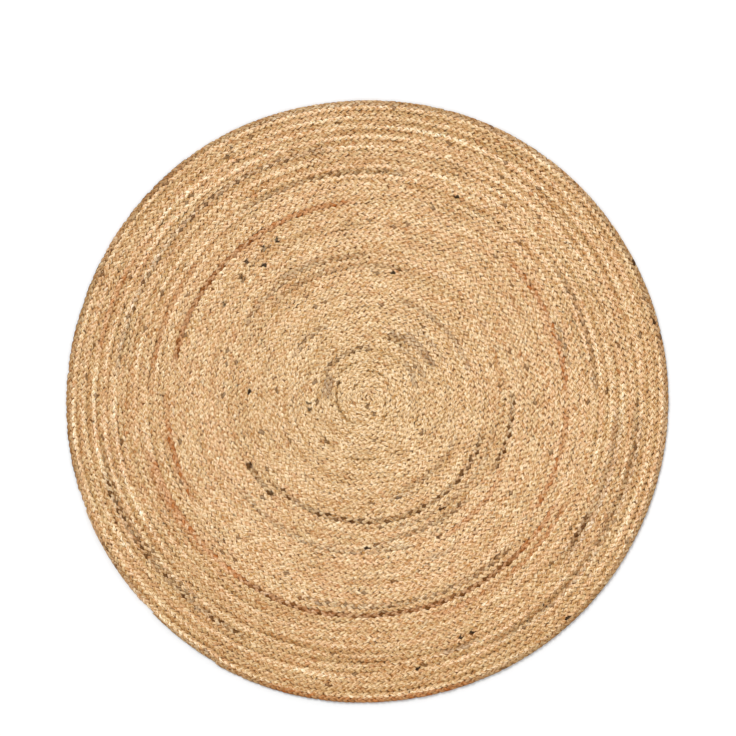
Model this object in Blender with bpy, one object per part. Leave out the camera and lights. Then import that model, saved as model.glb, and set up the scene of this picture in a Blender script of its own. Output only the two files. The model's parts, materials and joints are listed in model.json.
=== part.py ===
"""Round jute rug, 1.2 m across.

Two flat three-strand jute braids lie side by side, are wound clockwise from the middle into a flat coil,
and are sewn edge to edge, so that the rug is one piece. Its rows show as spiral ribs on the upper face. The
two braids run out at the rim, one after the other, where their ends are thinned and sewn in.

Metres, +Z up. The rug lies on the floor at z = 0, face up, with the middle of its outline at the origin.
"""

import math

import bmesh
import bpy

# Driving dimensions
DIAMETER = 1.200
ROWS = 61  # rows of braid from the middle to the rim
BRAIDS = 2  # braids wound side by side
THICKNESS = 0.0080  # at the crest of a row
GROOVE_DEPTH = 0.0026  # from the crest down to the seam between two rows

ROW_WIDTH = DIAMETER / 2 / ROWS

# The middle of the coil lies a little behind and to the left of the middle of the outline.
COIL_MIDDLE = (-0.0020, 0.0055)

# The rim is uneven by a few millimetres. Bearings are in degrees, anticlockwise from +X.
RIM_WAVES = (
    # waves in a turn, depth, bearing of a crest
    (2, 0.00075, 55),
    (3, 0.00030, 11),
    (4, 0.00085, 44),
    (5, 0.00065, 52),
    (6, 0.00065, 8),
)
END_STEP = 0.0030  # the rim steps out here, where the outer braid ends
END_BEARING = 240
END_FADE = 35  # degrees over which the step dies away

# The outer rows keep their distance from the rim, but for a stretch where they all move outwards and the two
# braids run out: its bearings, the share of the rows' winding that falls there at the rim, and the row from
# which this begins to show
RUN_OUT = (190, 245)
RUN_OUT_SHARE = 0.85
FIRST_UNEVEN_ROW = 34

# The rim's profile: how high its outermost edge lies, how many rows it takes the crests to come down to it,
# and how far the flat underside stays inside it
RIM_HEIGHT = 0.0038
RIM_FALL = 0.5
UNDERSIDE_INSET = 0.35 * ROW_WIDTH

# The faceted grid that is wound up: its lines follow the braids and its rays cross them
LINES_A_ROW = 2
LINES = LINES_A_ROW * (ROWS + BRAIDS)
RAYS = 48
SPARSE_ROWS = (
    # inside this row, only one ray in so many is kept
    (4.5, 4),
    (15.5, 2),
)
LEAST_ROW = 0.15  # what is left of a row at the middle or the rim is left out below this width
WELD = 1e-5

JUTE = (0.62, 0.43, 0.25, 1.0)
JUTE_ROUGHNESS = 0.85


def clear_scene():
    for old in list(bpy.data.objects):
        bpy.data.objects.remove(old)


def smooth(share):
    """0 to 1 with level ends."""
    share = min(max(share, 0.0), 1.0)
    return share * share * (3 - 2 * share)


def clockwise_turn(bearing):
    """The share of a turn, clockwise from +X, at which a bearing in degrees lies."""
    return (-bearing / 360) % 1.0


def winding(row, turn):
    """How many rows a braid that starts the turn at row has moved outwards after that share of a turn.

    Near the middle it moves evenly. Near the rim most of the way falls between the two run-out bearings.
    """
    share = RUN_OUT_SHARE * smooth((row - FIRST_UNEVEN_ROW) / (ROWS - FIRST_UNEVEN_ROW))
    start, end = clockwise_turn(RUN_OUT[1]), clockwise_turn(RUN_OUT[0])
    run_out = smooth((turn - start) / (end - start))
    return BRAIDS * ((1 - share) * turn + share * run_out)


def rim_offset(bearing):
    """How far the rim lies outside its circle at a bearing in degrees."""
    waves = sum(
        depth * math.cos(math.radians(count * (bearing - crest))) for count, depth, crest in RIM_WAVES
    )
    past_end = (bearing - END_BEARING) % 360
    return waves + END_STEP * max(0.0, 1 - past_end / END_FADE)


def place(row, turn, height):
    """The point of the rug at that many rows from the middle, that share of a turn and that height.

    The rim's unevenness and the coil's off-centre middle both fade across the rug.
    """
    bearing = -360 * turn
    outward = row / ROWS
    radius = row * ROW_WIDTH + rim_offset(bearing) * outward**3
    off_centre = 1 - outward**2
    angle = math.radians(bearing)
    return (
        COIL_MIDDLE[0] * off_centre + radius * math.cos(angle),
        COIL_MIDDLE[1] * off_centre + radius * math.sin(angle),
        height,
    )


def rib_height(row, on_crest):
    """Crests and grooves alternate, and both come down to the rim's edge in the last half row."""
    inside = THICKNESS if on_crest and row > 0 else THICKNESS - GROOVE_DEPTH
    return RIM_HEIGHT + (inside - RIM_HEIGHT) * smooth((ROWS - row) / RIM_FALL)


def kept_ray(ray, row):
    """Near the middle the rays lie too close together, so some are drawn onto their neighbour."""
    step = next((step for limit, step in SPARSE_ROWS if row < limit), 1)
    return ray - ray % step


def wind_up(grid):
    """Moves each point of a flat grid to its place on the coil.

    After a whole turn a line has moved out by as many rows as there are braids, so it meets the line that
    started there, and the last ray lies on the first.
    """
    for point in grid.verts:
        ray = round((point.co.x + 1) / 2 * RAYS)
        line = round((point.co.y + 1) / 2 * LINES)
        first_row = line / LINES_A_ROW - BRAIDS
        turn = kept_ray(ray, first_row) / RAYS
        row = first_row + winding(first_row, turn)
        if row < LEAST_ROW:
            row = 0
        if row > ROWS - LEAST_ROW:
            row = ROWS
        point.co = place(row, turn, rib_height(row, line % LINES_A_ROW == 1))


def rim_of(mesh):
    return [edge for edge in mesh.edges if edge.is_boundary]


def close_underside(mesh):
    """A band from the rim's edge down to the floor, and the flat face on which the rug lies."""
    made = bmesh.ops.extrude_edge_only(mesh, edges=rim_of(mesh))
    for point in made["geom"]:
        if isinstance(point, bmesh.types.BMVert):
            distance = math.hypot(point.co.x, point.co.y)
            inset = (distance - UNDERSIDE_INSET) / distance
            point.co = (point.co.x * inset, point.co.y * inset, 0.0)
    bmesh.ops.holes_fill(mesh, edges=rim_of(mesh), sides=0)


def centre_on_origin(mesh):
    """Puts the middle of the outline's box at the origin."""
    for axis in (0, 1):
        places = [point.co[axis] for point in mesh.verts]
        middle = (min(places) + max(places)) / 2
        for point in mesh.verts:
            point.co[axis] -= middle


def natural_jute():
    """Dry plant fibre, a dull straw brown."""
    material = bpy.data.materials.new("natural_jute")
    material.use_nodes = True
    shader = material.node_tree.nodes["Principled BSDF"]
    shader.inputs["Base Color"].default_value = JUTE
    shader.inputs["Roughness"].default_value = JUTE_ROUGHNESS
    shader.inputs["Metallic"].default_value = 0.0
    return material


def braided_rug(collection):
    """The upper face is a grid wound up into the coil, and the rim and the underside close it."""
    mesh = bmesh.new()
    bmesh.ops.create_grid(mesh, x_segments=RAYS, y_segments=LINES, size=1.0)
    wind_up(mesh)
    bmesh.ops.remove_doubles(mesh, verts=mesh.verts, dist=WELD)
    close_underside(mesh)
    centre_on_origin(mesh)
    bmesh.ops.recalc_face_normals(mesh, faces=mesh.faces)
    data = bpy.data.meshes.new("braided_rug")
    mesh.to_mesh(data)
    mesh.free()
    data.materials.append(natural_jute())
    rug = bpy.data.objects.new("braided_rug", data)
    collection.objects.link(rug)


def main():
    clear_scene()
    collection = bpy.data.collections.new("round_jute_rug")
    bpy.context.scene.collection.children.link(collection)
    braided_rug(collection)


main()
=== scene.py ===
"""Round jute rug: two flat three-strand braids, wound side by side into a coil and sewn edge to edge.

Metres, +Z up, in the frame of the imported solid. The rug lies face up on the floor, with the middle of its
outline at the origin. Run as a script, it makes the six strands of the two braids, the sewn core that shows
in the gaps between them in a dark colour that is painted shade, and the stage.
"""

import json
import math

import bpy
import numpy as np
from bpy.props import FloatProperty, FloatVectorProperty, PointerProperty
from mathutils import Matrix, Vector

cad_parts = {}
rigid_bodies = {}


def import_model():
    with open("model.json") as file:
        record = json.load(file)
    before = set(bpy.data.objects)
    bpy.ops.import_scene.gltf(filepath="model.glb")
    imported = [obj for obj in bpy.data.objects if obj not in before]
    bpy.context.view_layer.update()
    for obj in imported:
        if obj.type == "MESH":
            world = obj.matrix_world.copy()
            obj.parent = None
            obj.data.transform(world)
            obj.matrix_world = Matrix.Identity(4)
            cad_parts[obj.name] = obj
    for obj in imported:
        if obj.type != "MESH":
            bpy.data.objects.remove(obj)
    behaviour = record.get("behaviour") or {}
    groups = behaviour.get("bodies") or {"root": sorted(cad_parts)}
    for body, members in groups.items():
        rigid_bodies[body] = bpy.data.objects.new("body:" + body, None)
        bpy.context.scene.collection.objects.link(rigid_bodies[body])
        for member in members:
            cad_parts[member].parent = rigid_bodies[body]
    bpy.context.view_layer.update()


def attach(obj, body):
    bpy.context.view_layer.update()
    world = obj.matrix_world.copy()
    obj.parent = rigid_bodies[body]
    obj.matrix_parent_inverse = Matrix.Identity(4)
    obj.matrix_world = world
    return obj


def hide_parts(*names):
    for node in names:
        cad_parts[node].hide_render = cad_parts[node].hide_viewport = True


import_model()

bl_info = {
    "name": "Round braided jute rug",
    "version": (1, 0, 0),
    "blender": (4, 5, 0),
    "location": "3D View > Sidebar > Jute Rug",
    "description": "Makes a round rug of coiled and sewn jute braid, with its stage",
    "category": "Add Mesh",
}

RUG_NODE = "braided_rug"
BODY = "root"

# All that is random starts from this number, and each random field from its own number past it
SEED = 61
WARM_FIELD = 1
STRAND_TONE_FIELD = 2
BRAID_TONE_FIELD = 90
FINE_TONE_FIELD = 95
PITCH_FIELD = 200
SEAM_FIELD = 300
LINE_FIELD = 400
LINE_SHIFT_FIELD = 401
WAVES_IN_A_FIELD = 14

# The coil, as it is built in the solid
ROWS = 61  # rows of braid from the middle to the rim
BRAIDS = 2  # braids wound side by side
DIAMETER = 1.200
ROW_WIDTH = DIAMETER / 2 / ROWS
COIL_MIDDLE = (-0.0020, 0.0055)
RIM_WAVES = (
    # waves in a turn, depth, bearing of a crest
    (2, 0.00075, 55),
    (3, 0.00030, 11),
    (4, 0.00085, 44),
    (5, 0.00065, 52),
    (6, 0.00065, 8),
)
END_STEP = 0.0030  # the rim steps out here, where the outer braid ends
END_BEARING = 240
END_FADE = 35  # degrees over which the step dies away
RUN_OUT = (190, 245)  # bearings between which the outer rows move outwards and the two braids run out
RUN_OUT_SHARE = 0.85
FIRST_UNEVEN_ROW = 34
THINNEST_BRAID = 0.35  # share of a row's width at which a braid starts and ends
POINTS_IN_A_TURN = 720  # of a braid's middle line
POINTS_ON_THE_RIM = 1440

# The sewn core, whose dark colour is painted shade
CORE_INSET = 0.45  # rows between its edge and the rim
CORE_RAYS = 180
CORE_RINGS = (0.02, 0.2, 0.4, 0.6, 0.8, 1.0)  # shares of its radius

# A strand's route in one period of the braid. It lies on top twice in a period, once in each lobe.
STRANDS = 3
LATE_RISE = 8  # degrees of the period by which a strand's rise lags behind its swing
TOP_PHASE = 135 + LATE_RISE  # where it lies highest
RINGS_A_LOBE = 5
LOBE_MIDDLE = (RINGS_A_LOBE - 1) / 2
PHASES = TOP_PHASE + 180 / RINGS_A_LOBE * (np.arange(2 * RINGS_A_LOBE) - LOBE_MIDDLE)
END_GAP = 0.02  # share of a period that a strand stays short of its braid's ends
CLEARANCE = 0.0002  # no strand comes nearer to the floor or to its braid's ends
ROW_LIMITS = (0.02, ROWS + 0.05)  # rows between which all of its points lie
# The lobes' pitch changes with the row: these shares of the usual pitch hold at these rows
PITCH_ROWS = (0, 18, 28, 33, 41, 47, 61)
PITCH_SHARES = (0.95, 0.94, 0.93, 1.0, 1.03, 0.99, 1.0)
# A strand's section, clockwise as seen along it, in shares of its half width and half thickness
SECTION_SIDE = np.array([-0.55, 0.55, 1.0, 0.0, -1.0])
SECTION_UP = np.array([0.95, 0.95, -0.15, -1.0, -0.15])
CORNERS = len(SECTION_SIDE)

# How uneven the hand made it. A spread is the standard deviation from lobe to lobe, in metres where nothing
# else is said
SPREAD_ALONG = 0.0009
SPREAD_ACROSS = 0.00045
SPREAD_SLANT = 0.00024  # across the braid, from one ring of a lobe to the next
SPREAD_WIDTH = 0.12  # share of the width
SPREAD_THICKNESS = 0.06  # share of the thickness
SPREAD_LIFT = 0.00026
SPREAD_LEAN = 0.08  # radians
SPREAD_ROLL = 0.11  # radians
# A wave is a spread, the rows and the share of a turn that its crests lie apart
PITCH_WAVE = (0.05, 2.3, 0.03)  # share of the pitch
ROW_WAVE = (0.10, 7.0, 0.12)  # rows that the coil strays from its line
STRAIGHT_MIDDLE = 12  # rows over which the straying grows from nothing
STRAIGHT_RIM = 6  # rows over which it dies away again

# A strand's map for baking, in cells as large as one face of its skin
MAP_GAP = 0.5  # between two columns, and above them
CAP_RADIUS = 0.12  # of the discs that stand for its two end faces
CAP_PLACES = (0.2, 0.6)  # of their middles, sideways
CAP_HEIGHT = 0.25  # of their middles, over the columns

# Bast lies in flattened ribbons. Single fibres, under 0.1 mm, are too fine to show
RIBBON_WIDTH = 0.0009
RIBBON_LENGTH = 0.014
RIBBONS_BETWEEN_STRANDS = 37.0  # so that no two strands have the same ribbons
FOLDS = (0.80, 0.80, 2.3)  # a fold is little wider than a ribbon, and less than half as long
# Over this range of its noise a pattern goes from its dark to its light tone, by which the linear colour is
# multiplied
FOLD_RANGE = (0.40, 0.54)
FOLD_TONES = ((0.60, 0.41, 0.20), (1.05, 1.06, 1.08))
RIBBON_RANGE = (0.31, 0.63)
RIBBON_TONES = ((0.81, 0.69, 0.49), (1.04, 1.08, 1.12))
RIBBON_RELIEF = 0.0008
DUST_CLUMP = 0.0025
DUST_TONES = (0.6, 1.4)

# The fibre's colour
FIBRES = ("straw", "honey", "bark", "ash", "rust", "bleached", "speck")
PALER = np.array([0.72, 1.00, 1.50])  # how much more green and blue than red a paler fibre has
PALEST = 0.08
WARM = 0.45  # usual share of honey in the straw
WARM_WAVE = (0.22, 2.6, 0.05)
WARM_SPREAD = 0.16
WARM_IN_THE_MIDDLE = 0.30  # share of the warmth that the middle rows have
WARM_ROWS = (6, 28)  # the row from which it grows, and the rows over which it does
TONE_SPREAD = 0.030
STRAND_TONE_WAVE = (0.02, 2.4, 0.03)  # along each strand
BRAID_TONE_WAVE = (0.065, 2.2, 0.15)  # along each braid
FINE_TONE_WAVE = (0.03, 2.2, 0.04)  # along each braid
MOTTLE = 0.07
# Bands of rows, each with the row from which it grows, the rows over which it does, and its height
TONE_BANDS = ((28, 6, 0.03), (40, 7, -0.055), (56, 2, -0.06))
OUTER_BAND = (40, 6, 1.0)
DARKER_STRAND = (0, 0)  # the braid and strand that are darker than the others in the outer rows
DARKER_STRAND_TONE = -0.12
OTHER_STRANDS_TONE = 0.02
SHADED_SIDE_BEARING = 255  # the outer rows have a little painted shade on this side
SHADED_SIDE_BAND = (44, 6, -0.12)
RIM_BAND = (60.0, 0.5, 0.35)  # darker at the rim's edge, towards the bark's colour
# Lobes of other fibre that come by chance: from and to which chance, and how strongly it shows
ODD_LOBES = (
    ("bark", 0.0, 0.005, 0.70),
    ("speck", 0.005, 0.0056, 0.95),
    ("ash", 0.006, 0.020, 0.30),
    ("rust", 0.020, 0.045, 0.35),
    ("bleached", 0.045, 0.080, 0.15),
)
SPECKS = 0.0012  # share of the points with a speck of black bark
DARKEST_TONE = 0.003  # linear

# The creases between the lobes: painted shade, darker the deeper the crease
IN_CREASE_SHADE = np.array([0.0, 0.0, 1.0, 0.6, 1.0])  # how much of the crease's painted shade each corner has
CREASE_SHADE_LOSS = np.array([1.9, 3.0, 5.0])  # how fast deeper painted crease shade takes away red, green and blue
CREASE_SHADE_DEPTH = (1.5, 0.29)  # shape and scale of the gamma distribution of their depths
# The seams between the rows: painted shade where they lie open, in the creases and on the fibre
SEAM_WAVE = (1.0, 2.1, 0.05)
SEAM_START = 0.5  # a seam starts to darken where its field passes this value
SEAM_RANGE = 1.2  # and is darkest so much above it
SEAM_DARKEST = 0.5
SEAM_REACH = 0.4  # share of the row over which the darkness reaches in from the seam
SEAM_WIDTH = 0.3  # share of the row over which it grows
SEAM_CREASE = 2.0  # how much deeper the darkest seam makes the painted crease shade
SEAM_SHADE_ON_FIBRE = 1.1  # how much darker the seam's painted shade makes the fibre
SEAM_SHADE_ON_FIBRE_FROM = 0.3  # darkness from which the seam's painted shade darkens the fibre
SEAM_FADE = 5  # degrees over which an open seam and a marked stretch begin and end
# Painted shade: the dark line along every second seam of the outer rows, which both braids share; the fibre
# is a little lighter towards the other seams
SHADE_LINE = 0.30  # rows outwards from the first braid's middle to the line
SHADE_LINE_BANDS = ((40, 6, 0.12), (46, 8, 0.09))
LINE_WAVE = (0.4, 2.6, 0.06)  # share of its depth
LINE_SHIFT_WAVE = (0.06, 4.0, 0.1)  # rows
SHADE_LINE_CREASE = 2.5  # how much faster than the fibre's colour the line deepens the painted crease shade

# The bark stretches' painted gap shade and rust lie in one strand of a braid, so they show as separate
# lobes, on its inner and its outer side in turn. These are the shares of them that the other two strands
# have.
IN_OTHER_STRANDS = {"bark": 0.32, "rust": 0.62}
UNEVEN_SHARES = (0.6, 0.9, 1.1)  # a lobe in a marked stretch has one of these shares of its fibre
FULLEST_SHARE = 0.95  # but never more of it than this
# Stretches of braid that stand out, each with the row and the bearing at which it starts, the degrees that
# it runs clockwise, its fibre and how strongly that shows. Rust, ash, bleached and speck are the fibre's own
# colour; a bark stretch is painted shade, the dark gaps between the lobes of a looser stretch of braid, in
# the bark's colour
MARKED_STRETCHES = (
    (60.4, 292, 44, "rust", 0.79),
    (55.0, 360, 65, "bark", 0.52),
    (55.0, 172, 25, "rust", 0.66),
    (54.0, 245, 52, "bark", 0.95),
    (52.8, 232, 45, "bark", 0.57),
    (53.2, 294, 8, "ash", 0.56),
    (51.0, 360, 42, "ash", 0.35),
    (50.3, 334, 10, "bark", 0.90),
    (50.6, 176, 80, "bark", 0.78),
    (46.3, 126, 48, "bark", 0.62),
    (46.3, 38, 38, "bark", 0.60),
    (45.3, 335, 50, "rust", 0.60),
    (45.0, 225, 35, "rust", 0.60),
    (43.3, 333, 140, "rust", 0.95),
    (43.6, 318, 85, "bark", 0.82),
    (43.8, 174, 36, "rust", 0.73),
    (42.3, 174, 60, "bleached", 0.41),
    (42.6, 330, 60, "bleached", 0.32),
    (41.8, 318, 70, "bark", 0.68),
    (41.2, 24, 16, "bark", 0.57),
    (40.6, 212, 28, "rust", 0.95),
    (40.2, 0, 35, "rust", 0.79),
    (39.9, 47, 47, "rust", 0.86),
    (39.6, 172, 80, "rust", 0.92),
    (39.6, 172, 50, "bark", 0.51),
    (37.0, 132, 1.5, "speck", 0.95),
    (37.1, 125, 1.7, "speck", 0.95),
    (37.2, 120, 1.3, "speck", 0.95),
    (35.0, 302, 10, "ash", 0.35),
    (34.5, 137, 2.0, "speck", 0.95),
    (34.4, 147, 1.6, "speck", 0.95),
    (31.3, 330, 30, "rust", 0.60),
    (31.3, 290, 75, "bark", 0.51),
    (29.3, 4, 36, "bark", 0.95),
    (29.0, 152, 65, "bark", 0.57),
    (28.8, 317, 40, "bark", 0.68),
    (29.3, 130, 24, "ash", 0.40),
    (27.3, 226, 2.2, "speck", 0.95),
    (27.2, 211, 2.6, "speck", 0.95),
    (27.1, 228, 22, "bark", 0.90),
    (26.7, 138, 70, "bark", 0.44),
    (26.5, 350, 70, "bark", 0.44),
    (24.6, 346, 125, "bark", 0.95),
    (21.0, 297, 15, "ash", 0.42),
    (20.7, 75, 62, "ash", 0.45),
    (19.9, 340, 50, "bark", 0.44),
    (17.1, 58, 34, "ash", 0.32),
    (16.2, 152, 36, "bark", 0.57),
    (15.0, 62, 40, "ash", 0.62),
    (14.1, 64, 38, "ash", 0.36),
    (13.6, 72, 18, "bark", 0.82),
    (12.2, 60, 46, "ash", 0.36),
    (11.3, 194, 4.5, "speck", 0.95),
    (11.3, 187, 3.5, "speck", 0.95),
    (10.7, 46, 35, "ash", 0.55),
    (9.6, 152, 70, "bark", 0.74),
    (8.0, 180, 35, "ash", 0.59),
)
# Seams that lie open, with painted shade in their gaps: the row and the bearing at which each starts, the
# degrees that it runs clockwise, and how dark it is
OPEN_SEAMS = (
    (3.2, 158, 40, 1.0),
    (3.5, 300, 35, 0.6),
    (4.4, 5, 25, 0.8),
    (4.9, 330, 25, 0.8),
    (5.2, 250, 108, 1.0),
    (5.5, 93, 42, 1.0),
    (7.4, 140, 40, 0.9),
    (7.3, 253, 12, 0.8),
    (10.9, 347, 18, 0.8),
    (11.7, 241, 26, 0.8),
    (11.8, 306, 14, 0.9),
    (12.3, 283, 34, 0.9),
)

# The stage
FLOOR_SIZE = 40.0
FLOOR_GAP = 0.0003  # the floor lies this far under the rug's frame, so that no faces meet
SKY_STRENGTH = 0.81
LIGHTS = (
    # name, where it shines from, degrees across as seen from the rug, strength
    ("key_light", (-1.2, 2.0, 2.8), 24.0, 1.6),
    ("low_light", (0.3, 4.4, 1.2), 10.0, 0.55),
)
PHOTO_SIZE = 736  # pixels, as are the next two
RUG_PLACE_IN_PHOTO = (367.1, 401.4)
RUG_WIDTH_IN_PHOTO = 603.2
PIXEL = DIAMETER / RUG_WIDTH_IN_PHOTO  # metres
CAMERA_HEIGHT = 5.0
TOP_OF_THE_WEAVE = 0.007  # the photo's scale holds at this height
SENSOR = 36.0  # millimetres


# ---------------------------------------------------------------- the coil


def smooth(share):
    """0 to 1 with level ends: 3 x squared less 2 x cubed."""
    share = np.clip(share, 0.0, 1.0)
    return share * share * (3 - 2 * share)


def band(row, first_row, rows, height):
    """A smooth step outwards, from nothing at the first row to its height so many rows on."""
    return height * smooth((row - first_row) / rows)


def clockwise_turn(bearing):
    """The share of a turn, clockwise from +X, at which a bearing in degrees lies."""
    return (-bearing / 360) % 1.0


def winding(row, turn):
    """Rows that a braid has moved outwards in that share of a turn. Near the middle it moves evenly, and
    near the rim most of the way falls between the two run-out bearings, by a smooth step."""
    share = band(row, FIRST_UNEVEN_ROW, ROWS - FIRST_UNEVEN_ROW, RUN_OUT_SHARE)
    start, end = clockwise_turn(RUN_OUT[1]), clockwise_turn(RUN_OUT[0])
    run_out = smooth((turn - start) / (end - start))
    return BRAIDS * ((1 - share) * turn + share * run_out)


def rim_offset(bearing):
    """How far the rim lies outside its circle: a sum of cosines, and a step that fades with the bearing."""
    waves = sum(depth * np.cos(np.radians(count * (bearing - crest))) for count, depth, crest in RIM_WAVES)
    past_end = (bearing - END_BEARING) % 360
    return waves + END_STEP * np.clip(1 - past_end / END_FADE, 0, None)


def on_coil(row, turn):
    """x and y at that many rows from the middle and that share of a clockwise turn. The rim's unevenness
    fades with the cube of the distance, and the coil's off-centre middle with its square."""
    bearing = -360 * turn
    outward = row / ROWS
    radius = row * ROW_WIDTH + rim_offset(bearing % 360) * np.clip(outward, 0, None) ** 3
    off_centre = 1 - outward**2
    angle = np.radians(bearing)
    x = COIL_MIDDLE[0] * off_centre + radius * np.cos(angle)
    y = COIL_MIDDLE[1] * off_centre + radius * np.sin(angle)
    return x, y


def outline_middle():
    """The middle of the box round the rim, which the solid puts at the origin."""
    turn = np.arange(POINTS_ON_THE_RIM) / POINTS_ON_THE_RIM
    x, y = on_coil(np.full(POINTS_ON_THE_RIM, float(ROWS)), turn)
    return (x.min() + x.max()) / 2, (y.min() + y.max()) / 2


def wander(row, turn, seed, wave):
    """A smooth random field over the rug with the wave's spread: a sum of cosines, each with its own number
    of crests in a turn and its own distance between crests across the rows."""
    spread, rows_apart, turns_apart = wave
    rng = np.random.default_rng(seed)
    field = np.zeros(np.shape(row))
    for _ in range(WAVES_IN_A_FIELD):
        crests = rng.integers(0, max(2, round(1 / turns_apart)))
        across = rng.uniform(-1, 1) * 2 * math.pi / rows_apart
        field += np.cos(2 * math.pi * crests * turn + across * row + rng.uniform(0, 2 * math.pi))
    return spread * (field / math.sqrt(WAVES_IN_A_FIELD / 2))


def strand_seed(braid, strand, field):
    """The seed of one of a strand's own random fields, apart from those of every other strand."""
    return SEED + 20 * braid + 5 * strand + field


def by_lobe(rng, lobe, spread):
    """A random value of that spread for each lobe, given to all of the lobe's rings."""
    return rng.normal(0, spread, lobe[-1] + 1)[lobe]


# ---------------------------------------------------------------- meshes and nodes


def linear(hex_colour):
    """Linear red, green and blue from an sRGB hex value."""
    value = np.array([int(hex_colour[i : i + 2], 16) for i in (1, 3, 5)]) / 255
    return tuple(np.where(value <= 0.04045, value / 12.92, ((value + 0.055) / 1.055) ** 2.4))


def make_piece(name, points, faces, material):
    """A smooth-shaded mesh object at the origin, from an array of points and a list of face arrays, each
    with one row of corners for a face."""
    corners = np.concatenate([group.ravel() for group in faces])
    sizes = np.concatenate([np.full(len(group), group.shape[1]) for group in faces])
    starts = np.concatenate([[0], np.cumsum(sizes)[:-1]])
    data = bpy.data.meshes.new(name)
    data.vertices.add(len(points))
    data.vertices.foreach_set("co", np.asarray(points, np.float32).ravel())
    data.loops.add(len(corners))
    data.loops.foreach_set("vertex_index", corners.astype(np.int32))
    data.polygons.add(len(sizes))
    data.polygons.foreach_set("loop_start", starts.astype(np.int32))
    data.polygons.foreach_set("use_smooth", np.ones(len(sizes), bool))
    data.update(calc_edges=True)
    data.validate()
    data.materials.append(material)
    piece = bpy.data.objects.new(name, data)
    bpy.context.scene.collection.objects.link(piece)
    return piece


def finish_piece(piece):
    """Puts the piece on the body that it rides on, and hides the solid that it stands for."""
    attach(piece, BODY)
    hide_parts(RUG_NODE)


def put_attribute(piece, name, kind, values):
    """Stores one value for each point: kind is FLOAT_VECTOR or FLOAT_COLOR."""
    field = {"FLOAT_VECTOR": "vector", "FLOAT_COLOR": "color"}[kind]
    attribute = piece.data.attributes.new(name, kind, "POINT")
    attribute.data.foreach_set(field, np.asarray(values, np.float32).ravel())


def tube_quads(rings, corners):
    """Quads between neighbouring rings of points, each ring with the same number of corners."""
    ring, corner = np.meshgrid(np.arange(rings - 1), np.arange(corners), indexing="ij")
    after = (corner + 1) % corners
    here, there = ring * corners, (ring + 1) * corners
    return np.stack([here + corner, here + after, there + after, there + corner], -1).reshape(-1, 4)


def tube_faces(rings, corners):
    """The quads of a tube, and a many-cornered face over its first and its last ring."""
    first = np.arange(corners)[None, ::-1]
    last = (rings - 1) * corners + np.arange(corners)[None, :]
    return [tube_quads(rings, corners), first, last]


def node(tree, kind, settings=None, **links):
    """Adds a node. settings are its own properties, and links are its inputs, by name or as i and a number:
    sockets, or plain values."""
    made = tree.nodes.new(kind)
    for name, value in (settings or {}).items():
        setattr(made, name, value)
    for name, value in links.items():
        socket = made.inputs[int(name[1:]) if name[1:].isdigit() else name.replace("_", " ")]
        if isinstance(value, bpy.types.NodeSocket):
            tree.links.new(value, socket)
        else:
            socket.default_value = value
    return made


# ---------------------------------------------------------------- materials


def raw_jute():
    """Raw jute bast: dry, dull, flattened ribbons of fibre that run along each strand.

    The eye gets the lobe's own colour with the painted shade of creases and seams in it, pale and dark
    fibres along the strand, and hardly any gloss.
    """
    material = bpy.data.materials.new("raw_jute_braid")
    material.use_nodes = True
    tree = material.node_tree
    shader = tree.nodes["Principled BSDF"]
    # the fibre's colour, with painted shade of the creases, seams and one side of the outer rows
    colour = node(tree, "ShaderNodeAttribute", {"attribute_name": "jute_colour"}).outputs["Color"]
    # fibre_way counts ribbons of fibre, so one noise cell is one ribbon, 0.9 mm wide and some 14 mm long
    way = node(tree, "ShaderNodeAttribute", {"attribute_name": "fibre_way"}).outputs["Vector"]
    ribbons = node(tree, "ShaderNodeTexNoise", None, Vector=way, Scale=1.0, Detail=2.5, Roughness=0.6)
    fold_way = node(tree, "ShaderNodeVectorMath", {"operation": "MULTIPLY"}, i0=way, i1=FOLDS)
    folds = node(tree, "ShaderNodeTexNoise", None, Vector=fold_way.outputs["Vector"], Scale=1.0, Detail=1.0)
    for pattern, (low, high), (dark, light) in (
        (folds, FOLD_RANGE, FOLD_TONES),
        (ribbons, RIBBON_RANGE, RIBBON_TONES),
    ):
        tone = node(
            tree, "ShaderNodeMapRange", {"data_type": "FLOAT_VECTOR"},
            i6=pattern.outputs["Fac"], i7=(low,) * 3, i8=(high,) * 3, i9=dark, i10=light,
        )
        toned = node(
            tree, "ShaderNodeVectorMath", {"operation": "MULTIPLY"}, i0=colour, i1=tone.outputs["Vector"]
        )
        colour = toned.outputs["Vector"]
    tree.links.new(colour, shader.inputs["Base Color"])
    bump = node(
        tree, "ShaderNodeBump", None, Height=ribbons.outputs["Fac"], Strength=0.6, Distance=RIBBON_RELIEF
    )
    tree.links.new(bump.outputs["Normal"], shader.inputs["Normal"])
    shader.inputs["Roughness"].default_value = 0.82
    shader.inputs["Specular IOR Level"].default_value = 0.12
    return material


def shaded_jute(colour):
    """Jute deep between the strands, out of the light: its dark colour is painted shade, dusty, and with no
    gloss that the eye would see.
    """
    material = bpy.data.materials.new("jute_in_the_seams")
    material.use_nodes = True
    tree = material.node_tree
    shader = tree.nodes["Principled BSDF"]
    place = node(tree, "ShaderNodeTexCoord").outputs["Object"]
    # a noise cell is a clump of dust and fibre
    dust = node(tree, "ShaderNodeTexNoise", None, Vector=place, Scale=1 / DUST_CLUMP, Detail=2.0)
    dark, light = DUST_TONES
    tone = node(tree, "ShaderNodeMapRange", None, Value=dust.outputs["Fac"], To_Min=dark, To_Max=light)
    toned = node(
        tree, "ShaderNodeVectorMath", {"operation": "SCALE"}, i0=tuple(colour), Scale=tone.outputs["Result"]
    )
    tree.links.new(toned.outputs["Vector"], shader.inputs["Base Color"])
    shader.inputs["Roughness"].default_value = 0.9
    return material


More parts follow.
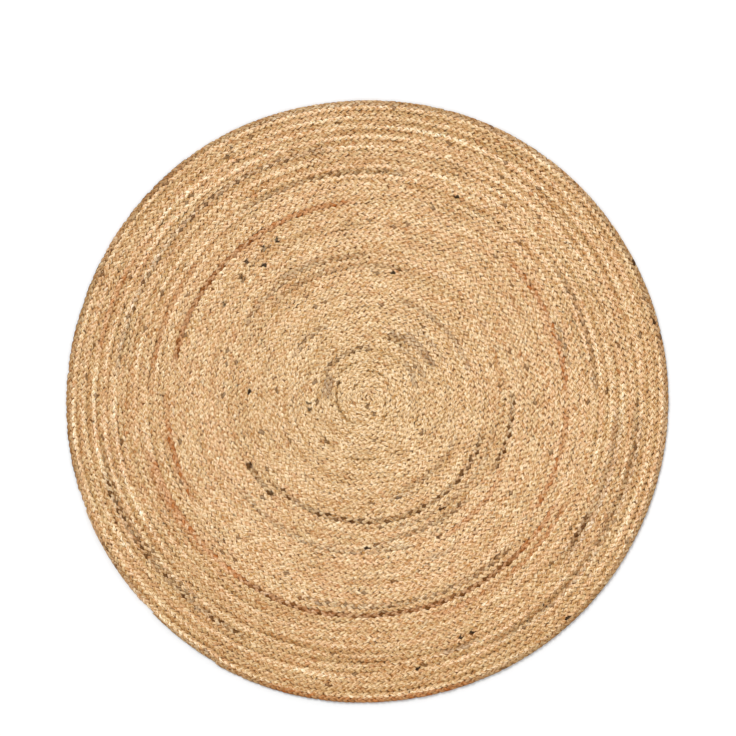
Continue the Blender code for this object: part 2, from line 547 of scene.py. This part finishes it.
def floor_paint(colour):
    """Matt white studio paint: it gives the eye an even pale ground with no reflections."""
    material = bpy.data.materials.new("white_studio_floor")
    material.use_nodes = True
    shader = material.node_tree.nodes["Principled BSDF"]
    shader.inputs["Base Color"].default_value = (*colour, 1)
    shader.inputs["Roughness"].default_value = 0.9
    return material


# ---------------------------------------------------------------- the sewn core, in painted shade


def core_points(sizes):
    """The inside of the rug as one closed sheet: rings of points that go outwards on top at one height, and
    inwards below at another, each ring at its share of the coil's radius."""
    shares = np.array(CORE_RINGS + CORE_RINGS[::-1])
    rings = len(shares)
    heights = np.where(np.arange(rings) < rings // 2, sizes.core_top, sizes.core_bottom)
    turn = np.arange(CORE_RAYS) / CORE_RAYS
    x, y = on_coil(shares[:, None] * (ROWS - CORE_INSET), turn[None, :] + 0 * shares[:, None])
    middle = outline_middle()
    return np.stack([x - middle[0], y - middle[1], heights[:, None] + 0 * x], -1)


# ---------------------------------------------------------------- the braids


def braid_line(braid):
    """The middle line of a braid as arrays: turns from the start, length so far, and inner and outer edge
    in rows. Its row is two for each whole turn, and the winding in the turn that it is in. A braid spans
    half a row on both sides of its line, less what lies past the middle or the rim."""
    turns = np.arange(0.0, ROWS / BRAIDS + 1, 1 / POINTS_IN_A_TURN)
    whole = np.floor(turns)
    first_row = BRAIDS * whole + braid + 0.5 - BRAIDS
    row = first_row + winding(first_row, turns - whole)
    inner = np.clip(row - 0.5, 0, None)
    outer = np.clip(row + 0.5, None, ROWS)
    kept = outer - inner > THINNEST_BRAID
    turns, inner, outer = turns[kept], inner[kept], outer[kept]
    x, y = on_coil((inner + outer) / 2, turns)
    length = np.concatenate([[0], np.cumsum(np.hypot(np.diff(x), np.diff(y)))])
    return turns, length, inner, outer


def strand_route(strand, line, look, wobble_seed, rng):
    """The rings of one strand: a dict of arrays with one value for each ring.

    At phase p the strand lies sin p times its swing across the braid, and its height is
    -rise sin 2(p - late). So it lies on top on its way from an edge to the braid's middle, and below on its
    way from there to the other edge. Its lean is the angle whose tangent is the slope of its way across. The
    three strands are a third of a period apart, and every lobe is a little off its place, size and angle.
    """
    turns, length, inner, outer = line
    row = (inner + outer) / 2
    period = STRANDS * look.lobe_pitch * np.interp(row, PITCH_ROWS, PITCH_SHARES)
    period = period * (1 + wander(row, turns % 1, wobble_seed, PITCH_WAVE))
    beats = np.cumsum(np.gradient(length) / period)
    beats = beats - beats[0]
    periods = np.arange(-1, int(beats[-1]) + 2)
    phase = (np.radians(PHASES)[None, :] + 2 * math.pi * periods[:, None]).ravel()
    lobe = np.arange(len(phase)) // RINGS_A_LOBE
    from_middle = np.tile(np.arange(RINGS_A_LOBE) - LOBE_MIDDLE, lobe[-1] + 1)
    beat = phase / (2 * math.pi) + strand / STRANDS
    kept = (beat > END_GAP) & (beat < beats[-1] - END_GAP)
    along = np.interp(beat, beats, length) + by_lobe(rng, lobe, SPREAD_ALONG)
    period = np.interp(beat, beats, period)
    height = -np.sin(2 * (phase - math.radians(LATE_RISE)))
    on_top = smooth(0.5 + 0.5 * height)
    across = look.strand_swing * np.sin(phase) + by_lobe(rng, lobe, SPREAD_ACROSS)
    across = across + by_lobe(rng, lobe, SPREAD_SLANT) * from_middle
    width = look.strand_width * (look.edge_share + (1 - look.edge_share) * on_top)
    width = width * (1 + by_lobe(rng, lobe, SPREAD_WIDTH))
    thick = look.strand_thickness * (1 + by_lobe(rng, lobe, SPREAD_THICKNESS))
    lift = look.middle_height + look.strand_rise * height + by_lobe(rng, lobe, SPREAD_LIFT)
    slope = look.strand_swing * np.cos(phase) * 2 * math.pi / period
    lean = np.arctan(slope) + by_lobe(rng, lobe, SPREAD_LEAN)
    roll = by_lobe(rng, lobe, SPREAD_ROLL)
    route = {
        "along": along, "across": across, "width": width, "thick": thick,
        "lift": lift, "lean": lean, "roll": roll, "lobe": lobe,
    }
    route = {name: values[kept] for name, values in route.items()}
    route["along"] = np.clip(route["along"], CLEARANCE, length[-1] - CLEARANCE)
    route["turn"] = np.interp(route["along"], length, turns)
    route["row"] = np.interp(route["along"], length, row)
    return route


def strand_points(route, line):
    """The points of a strand, a five-cornered section at each ring: the section is rolled, turned by its
    lean, laid along the braid's line and then wound into the coil. The second array counts ribbons of fibre
    across, up and along the strand, and the third has the points' rows."""
    turns, length, inner, outer = line
    half_width, half_thick = route["width"][:, None] / 2, route["thick"][:, None] / 2
    side = SECTION_SIDE * half_width
    up = SECTION_UP * half_thick
    roll = route["roll"][:, None]
    rolled_side = side * np.cos(roll) - up * np.sin(roll)
    rolled_up = side * np.sin(roll) + up * np.cos(roll)
    lean = route["lean"][:, None]
    along = np.clip(route["along"][:, None] - np.sin(lean) * rolled_side, 0, length[-1])
    across = (route["across"][:, None] + np.cos(lean) * rolled_side) / (ROW_WIDTH / 2)
    turn = np.interp(along, length, turns)
    low = np.interp(along, length, inner)
    high = np.interp(along, length, outer)
    row = (low + high) / 2 + across * (high - low) / 2
    loose = np.clip(row / STRAIGHT_MIDDLE, 0, 1) * np.clip((ROWS - row) / STRAIGHT_RIM, 0, 1)
    row = np.clip(row + wander(row, turn % 1, SEED, ROW_WAVE) * loose, *ROW_LIMITS)
    x, y = on_coil(row, turn)
    middle = outline_middle()
    z = np.clip(route["lift"][:, None] + rolled_up, CLEARANCE, None)
    points = np.stack([x - middle[0], y - middle[1], z], -1)
    along_strand = route["along"][:, None] + 0 * side
    way = np.stack([side / RIBBON_WIDTH, up / RIBBON_WIDTH, along_strand / RIBBON_LENGTH], -1)
    return points, way, row


def bake_map(piece, rings):
    """A map for baking: the strand's skin unrolled and folded into columns of equal height that fill the
    square, with a gap between columns. The two end faces are small discs above the first column. Nothing in
    the material reads the map."""
    cells = CORNERS + MAP_GAP
    columns = math.ceil(math.sqrt(rings / cells))
    tall = math.ceil(rings / columns)
    ring, corner = np.meshgrid(np.arange(rings - 1), np.arange(CORNERS), indexing="ij")
    left = (ring // tall) * cells + corner
    low = ring % tall
    u = np.stack([left, left + 1, left + 1, left], -1)
    v = np.stack([low, low, low + 1, low + 1], -1)
    turn = np.arange(CORNERS) / CORNERS * 2 * math.pi
    first_cap, last_cap = (place + CAP_RADIUS * np.cos(turn) for place in CAP_PLACES)
    cap_v = tall + CAP_HEIGHT + CAP_RADIUS * np.sin(turn)
    u = np.concatenate([u.ravel(), first_cap[::-1], last_cap]) / (columns * cells)
    v = np.concatenate([v.ravel(), cap_v[::-1], cap_v]) / (tall + MAP_GAP)
    layer = piece.data.uv_layers.new(name="OFBake")
    layer.data.foreach_set("uv", np.stack([u, v], -1).astype(np.float32).ravel())


# ---------------------------------------------------------------- the fibre's colour, and the shade painted into it


def own_strand(start_row):
    """The strand of its braid in which a marked stretch lies. It differs from stretch to stretch: ten times
    the row at which it starts, less all whole threes."""
    return round(10 * start_row) % STRANDS


def along_stretch(route, line, row, bearing, degrees):
    """Whether a stretch of braid is on this braid, as the share from 0 to 1 that it has at each ring. It
    starts where the braid passes the bearing nearest to that row. Its ends fade over five degrees, or over a
    sixth of a short stretch."""
    turns, length, inner, outer = line
    passes = np.arange(math.floor(turns[0]), math.ceil(turns[-1])) + clockwise_turn(bearing)
    rows = np.interp(passes, turns, (inner + outer) / 2)
    nearest = np.argmin(np.abs(rows - row))
    past = (route["turn"] - passes[nearest]) * 360
    here = abs(rows[nearest] - row) <= 0.5
    fade = min(SEAM_FADE, degrees / 6)
    return here * smooth(past / fade) * smooth((degrees - past) / fade)


def painted_seam_shade(row, turn):
    """How dark the painted shade of the seam at that row and turn is, from 0 to 1: the open seams, which
    move outwards with the coil, and elsewhere the crests of a random field."""
    field = wander(row, turn, SEED + SEAM_FIELD, SEAM_WAVE)
    dark = SEAM_DARKEST * smooth((field - SEAM_START) / SEAM_RANGE)
    for seam_row, bearing, degrees, depth in OPEN_SEAMS:
        past = ((turn - clockwise_turn(bearing)) % 1) * 360
        near = np.abs(row - seam_row - BRAIDS * past / 360) < 0.5
        ends = smooth(past / SEAM_FADE) * smooth((degrees - past) / SEAM_FADE)
        dark = np.maximum(dark, near * depth * ends)
    return dark


def fibre_tones(row, turn, lobe, braid, strand, rng):
    """How much paler than usual the fibre is at each ring: by the lobe's own chance, in waves along the
    strand and along the braid, by the row, darker in one strand, and with painted shade on one side of the
    outer rows."""
    pale = by_lobe(rng, lobe, TONE_SPREAD)
    pale = pale + wander(row, turn, strand_seed(braid, strand, STRAND_TONE_FIELD), STRAND_TONE_WAVE)
    pale = pale + wander(row, turn, SEED + BRAID_TONE_FIELD + braid, BRAID_TONE_WAVE)
    pale = pale + wander(row, turn, SEED + FINE_TONE_FIELD + braid, FINE_TONE_WAVE)
    pale = pale + sum(band(row, *settings) for settings in TONE_BANDS)
    # painted shade on one side of the outer rows
    shaded_side = np.clip(np.cos(2 * math.pi * (turn - clockwise_turn(SHADED_SIDE_BEARING))), 0, 1)
    pale = pale + shaded_side**2 * band(row, *SHADED_SIDE_BAND)
    strand_tone = DARKER_STRAND_TONE if (braid, strand) == DARKER_STRAND else OTHER_STRANDS_TONE
    pale = pale + strand_tone * band(row, *OUTER_BAND)
    return np.minimum(pale, PALEST)


def fibre_colours(fibres, route, braid, strand, rng):
    """The colour of the fibre at each ring: straw or honey by slow waves along the strand and by the lobe's
    own chance, made paler or darker, with painted shade on one side of the outer rows, then other fibre in a
    few lobes, and darker towards the bark's colour along the rim."""
    row, turn, lobe = route["row"], route["turn"] % 1, route["lobe"]
    warm = WARM + wander(row, turn, strand_seed(braid, strand, WARM_FIELD), WARM_WAVE)
    warm = smooth(warm + by_lobe(rng, lobe, WARM_SPREAD))
    warm = (warm * (WARM_IN_THE_MIDDLE + band(row, *WARM_ROWS, 1 - WARM_IN_THE_MIDDLE)))[:, None]
    colour = fibres["straw"] * (1 - warm) + fibres["honey"] * warm
    colour = colour * np.exp(fibre_tones(row, turn, lobe, braid, strand, rng)[:, None] * PALER)
    chance = rng.uniform(0, 1, lobe[-1] + 1)[lobe]
    for name, low, high, share in ODD_LOBES:
        mix = share * ((chance > low) & (chance < high))[:, None]
        colour = colour * (1 - mix) + fibres[name] * mix
    rim = band(row, *RIM_BAND)[:, None]
    return colour * (1 - rim) + fibres["bark"] * rim


def point_colours_and_shade(colours, route, line, row, braid, strand, rng):
    """The colour at each point: the fibre's, other fibre and painted gap shade along the marked stretches,
    mottled a little, painted shade in the creases, by the open seams and along every second seam of the
    outer rows, and a few specks of black bark."""
    turns, length, inner, outer = line
    fibres = {name: np.array(getattr(colours, name)[:]) for name in FIBRES}
    low = np.interp(route["along"], length, inner)[:, None]
    high = np.interp(route["along"], length, outer)[:, None]
    place = (row - low) / (high - low)
    at = (route["turn"] % 1)[:, None]
    colour = fibre_colours(fibres, route, braid, strand, rng)[:, None, :]
    lobe = route["lobe"]
    uneven = rng.choice(UNEVEN_SHARES, lobe[-1] + 1)[lobe]
    # painted shade in the creases: a random depth for each lobe's corners
    deep = rng.gamma(*CREASE_SHADE_DEPTH, (lobe[-1] + 1, CORNERS))[lobe]
    for start_row, bearing, degrees, name, share in MARKED_STRETCHES:
        if strand != own_strand(start_row):
            share = share * IN_OTHER_STRANDS.get(name, 1)
        mix = share * uneven * along_stretch(route, line, start_row, bearing, degrees)
        mix = np.clip(mix, 0, FULLEST_SHARE)[:, None, None]
        colour = colour * (1 - mix) + fibres[name] * mix
    mottled = np.exp(rng.normal(0, MOTTLE, row.shape)[..., None] * PALER)
    colour = colour * mottled
    # painted shade by the seams on both edges of the braid
    dark = painted_seam_shade(high, at) * smooth((place - (1 - SEAM_REACH)) / SEAM_WIDTH)
    dark = dark + painted_seam_shade(low, at) * smooth((SEAM_REACH - place) / SEAM_WIDTH)
    deep = deep + SEAM_CREASE * dark
    colour = colour * np.exp(-SEAM_SHADE_ON_FIBRE * np.clip(dark - SEAM_SHADE_ON_FIBRE_FROM, 0, 1)[..., None] * PALER)
    # painted shade along every second seam of the outer rows
    shade_line_depth = sum(band(row, *settings) for settings in SHADE_LINE_BANDS)
    shade_line_depth = shade_line_depth * (1 + wander(row, at, SEED + LINE_FIELD, LINE_WAVE))
    line_shift = wander(row, at, SEED + LINE_SHIFT_FIELD, LINE_SHIFT_WAVE)
    wave = np.cos(math.pi * (place - 0.5 + braid - SHADE_LINE + line_shift))
    colour = colour * np.exp(-(shade_line_depth * wave)[..., None] * PALER)
    deep = deep * np.exp(SHADE_LINE_CREASE * shade_line_depth * wave)
    # paints the shade of the creases into the colour
    colour = colour * np.exp(-(deep * IN_CREASE_SHADE)[..., None] * CREASE_SHADE_LOSS)
    speck = (rng.uniform(0, 1, row.shape) < SPECKS)[..., None]
    colour = np.where(speck, fibres["speck"], colour)
    return np.clip(colour, DARKEST_TONE, 1)


# ---------------------------------------------------------------- settings


def length_property(name, words, metres):
    """A length in metres that a user can change."""
    return FloatProperty(name=name, description=words, default=metres, subtype="DISTANCE", unit="LENGTH")


def colour_property(name, words, hex_colour):
    """A colour that a user can change, with its default as an sRGB hex value."""
    default = linear(hex_colour)
    return FloatVectorProperty(
        name=name, description=words, subtype="COLOR", size=3, min=0, max=1, default=default
    )


class RugSizes(bpy.types.PropertyGroup):
    """Heights of the sewn core"""

    core_top: length_property("Core top", "Upper height of the sewn core", 0.0042)
    core_bottom: length_property("Core bottom", "Lower height of the sewn core", 0.0034)


class BraidLook(bpy.types.PropertyGroup):
    """Sizes of the braid and its strands"""

    lobe_pitch: length_property("Lobe pitch", "Usual length of braid from one lobe to the next", 0.0120)
    strand_width: length_property("Strand width", "Width of a strand where it lies on top", 0.0080)
    strand_thickness: length_property("Strand thickness", "Thickness of a strand", 0.0040)
    strand_swing: length_property("Strand swing", "Sideways swing of a strand from the middle", 0.0037)
    strand_rise: length_property("Strand rise", "Rise of a strand over the braid's middle height", 0.0016)
    middle_height: length_property("Middle height", "Height of the braid's middle over the floor", 0.0038)
    edge_share: FloatProperty(
        name="Edge share",
        description="Share of its width that a strand keeps low down",
        default=0.66,
        min=0.1,
        max=1,
        subtype="FACTOR",
    )


class JuteColours(bpy.types.PropertyGroup):
    """Colours of the jute"""

    straw: colour_property("Straw", "Pale straw fibre", "#EFD6B0")
    honey: colour_property("Honey", "Warm honey fibre", "#E6C098")
    bark: colour_property("Bark", "Dark bark left on the fibre", "#64401A")
    ash: colour_property("Ash", "Greyed fibre", "#A48B74")
    rust: colour_property("Rust", "Reddish fibre", "#BC7840")
    bleached: colour_property("Bleached", "Bleached fibre", "#F0D5B0")
    speck: colour_property("Speck", "Specks of black bark", "#241408")
    # the core's dark colour: painted shade of the jute deep between the strands
    seam: colour_property("Seam", "Jute deep between the strands", "#6A4018")


class StageColours(bpy.types.PropertyGroup):
    """Colour of the studio"""

    floor: colour_property("Floor", "Paint of the studio floor", "#EEEEEE")


class RugSettings(bpy.types.PropertyGroup):
    """All settings of the rug and its stage"""

    sizes: PointerProperty(type=RugSizes, name="Sizes", description="Heights of the sewn core")
    look: PointerProperty(type=BraidLook, name="Braid", description="Sizes of the braid and its strands")
    colours: PointerProperty(type=JuteColours, name="Colours", description="Colours of the jute")
    stage: PointerProperty(type=StageColours, name="Stage", description="Colour of the studio")


# ---------------------------------------------------------------- operators


class JUTE_OT_strands(bpy.types.Operator):
    """Makes the three strands of both braids"""

    bl_idname = "jute.strands"
    bl_label = "Make Braid Strands"

    def execute(self, context):
        settings = context.scene.jute_rug
        material = raw_jute()
        for braid in range(BRAIDS):
            line = braid_line(braid)
            for strand in range(STRANDS):
                rng = np.random.default_rng(SEED + 10 * braid + strand)
                route = strand_route(strand, line, settings.look, SEED + PITCH_FIELD + braid, rng)
                points, way, row = strand_points(route, line)
                way[..., 2] += RIBBONS_BETWEEN_STRANDS * (STRANDS * braid + strand)
                rings = len(points)
                name = f"braid_{braid + 1}_strand_{strand + 1}"
                piece = make_piece(name, points.reshape(-1, 3), tube_faces(rings, CORNERS), material)
                put_attribute(piece, "fibre_way", "FLOAT_VECTOR", way)
                colour = point_colours_and_shade(settings.colours, route, line, row, braid, strand, rng)
                opaque = np.concatenate([colour, np.ones(colour.shape[:2] + (1,))], -1)
                put_attribute(piece, "jute_colour", "FLOAT_COLOR", opaque)
                bake_map(piece, rings)
                finish_piece(piece)
        return {"FINISHED"}


class JUTE_OT_core(bpy.types.Operator):
    """Makes the sewn inside of the rug, which shows only in the gaps, in a dark colour that is painted shade
    """

    bl_idname = "jute.core"
    bl_label = "Make Sewn Core"

    def execute(self, context):
        strands = [o for o in bpy.data.objects if o.name.startswith("braid_")]
        if len(strands) != BRAIDS * STRANDS:
            raise RuntimeError("The braid strands are made before the core that they are sewn to")
        settings = context.scene.jute_rug
        points = core_points(settings.sizes)
        faces = tube_faces(len(points), CORE_RAYS)
        piece = make_piece("sewn_core", points.reshape(-1, 3), faces, shaded_jute(settings.colours.seam))
        finish_piece(piece)
        return {"FINISHED"}


class JUTE_OT_stage(bpy.types.Operator):
    """Makes the floor, the lights and the camera"""

    bl_idname = "jute.stage"
    bl_label = "Make Stage"

    def execute(self, context):
        scene = context.scene
        scene.view_settings.view_transform = "Standard"
        corners = np.array([[-1, -1, 0], [1, -1, 0], [1, 1, 0], [-1, 1, 0]], float) * FLOOR_SIZE / 2
        corners[:, 2] = -FLOOR_GAP
        paint = floor_paint(scene.jute_rug.stage.floor)
        floor = make_piece("floor", corners, [np.array([[0, 1, 2, 3]])], paint)
        world = bpy.data.worlds.new("studio")
        world.use_nodes = True
        sky = world.node_tree.nodes["Background"]
        sky.inputs["Color"].default_value = (1, 1, 1, 1)
        sky.inputs["Strength"].default_value = SKY_STRENGTH
        scene.world = world
        for name, place, width, strength in LIGHTS:
            lamp = bpy.data.lights.new(name, "SUN")
            lamp.angle = math.radians(width)
            lamp.energy = strength
            light = bpy.data.objects.new(name, lamp)
            light.location = place
            light.rotation_euler = (-Vector(place)).to_track_quat("-Z", "Y").to_euler()
            scene.collection.objects.link(light)
        camera_data = bpy.data.cameras.new("camera")
        camera_data.sensor_width = SENSOR
        camera_data.lens = SENSOR * (CAMERA_HEIGHT - TOP_OF_THE_WEAVE) / (PHOTO_SIZE * PIXEL)
        camera = bpy.data.objects.new("camera", camera_data)
        right = PHOTO_SIZE / 2 - RUG_PLACE_IN_PHOTO[0]
        up = RUG_PLACE_IN_PHOTO[1] - PHOTO_SIZE / 2
        camera.location = (right * PIXEL, up * PIXEL, CAMERA_HEIGHT)
        scene.collection.objects.link(camera)
        scene.camera = camera
        return {"FINISHED"}


class JUTE_PT_rug(bpy.types.Panel):
    """Lists the rug's settings and the operators that make it"""

    bl_idname = "JUTE_PT_rug"
    bl_label = "Jute Rug"
    bl_space_type = "VIEW_3D"
    bl_region_type = "UI"
    bl_category = "Jute Rug"

    def draw(self, context):
        settings = context.scene.jute_rug
        for group in (settings.sizes, settings.look, settings.colours, settings.stage):
            box = self.layout.box()
            for name in group.bl_rna.properties.keys():
                if name not in ("rna_type", "name"):
                    box.prop(group, name)
        for operator in OPERATORS:
            self.layout.operator(operator.bl_idname)


OPERATORS = (JUTE_OT_strands, JUTE_OT_core, JUTE_OT_stage)
GROUPS = (RugSizes, BraidLook, JuteColours, StageColours, RugSettings)
CLASSES = (*GROUPS, *OPERATORS, JUTE_PT_rug)


def register():
    """Registers the classes, and gives each scene its settings."""
    for cls in CLASSES:
        bpy.utils.register_class(cls)
    bpy.types.Scene.jute_rug = PointerProperty(
        type=RugSettings, name="Jute rug", description="Settings of the rug and its stage"
    )


def unregister():
    """Takes the settings and the classes away again."""
    del bpy.types.Scene.jute_rug
    for cls in reversed(CLASSES):
        bpy.utils.unregister_class(cls)


def main():
    """Makes the rug and its stage."""
    register()
    bpy.ops.jute.strands()
    bpy.ops.jute.core()
    bpy.ops.jute.stage()


if __name__ == "__main__":
    main()
